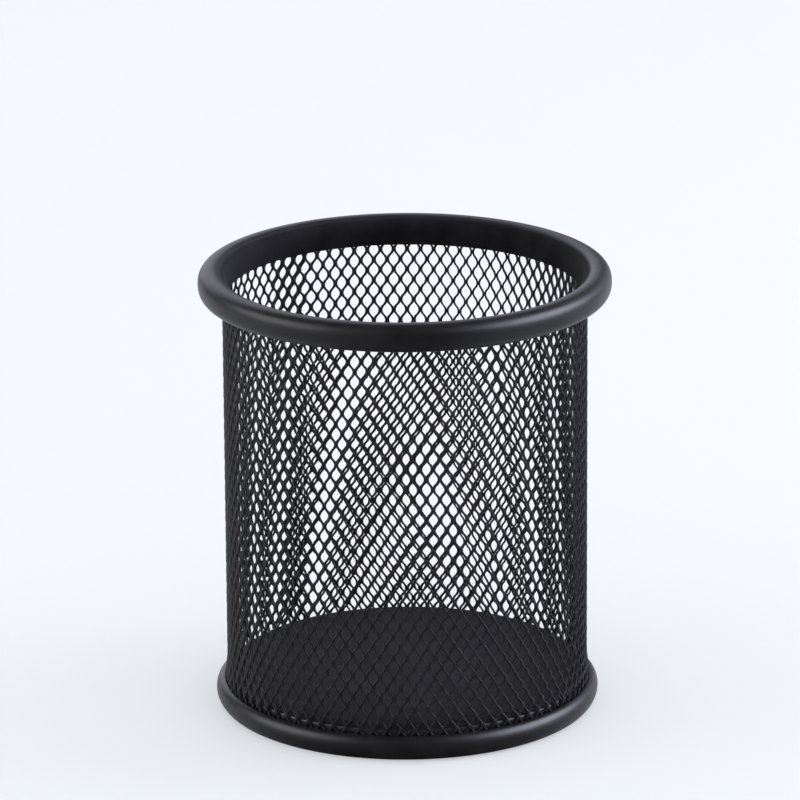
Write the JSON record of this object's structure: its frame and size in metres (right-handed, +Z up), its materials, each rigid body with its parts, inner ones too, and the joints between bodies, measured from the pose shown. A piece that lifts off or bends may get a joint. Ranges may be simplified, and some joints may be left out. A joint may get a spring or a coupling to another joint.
{
  "type": "mesh pen cup",
  "caption": "Round open-topped cup of expanded steel mesh with a rolled rim, a solid recessed base plate and a bead ring at the foot. Stands on a desk and holds pens.",
  "frame": {"origin": "centre of the circle that the cup stands on, on the floor plane", "axes": "+Z up along the cup's axis; +Y to the back, +X to the right as the picture shows it"},
  "size_m": [0.091, 0.091, 0.1],
  "materials": {
    "powder_coated_mesh": "satin black powder coat on expanded steel sheet",
    "powder_coated_rim": "satin black powder coat on roll-formed steel",
    "powder_coated_plate": "satin black powder coat on pressed steel sheet"
  },
  "bodies": {
    "root": {"mesh_sleeve": "powder_coated_mesh", "top_rim": "powder_coated_rim", "base_bead": "powder_coated_rim", "base_plate": "powder_coated_plate"}
  },
  "joints": []
}
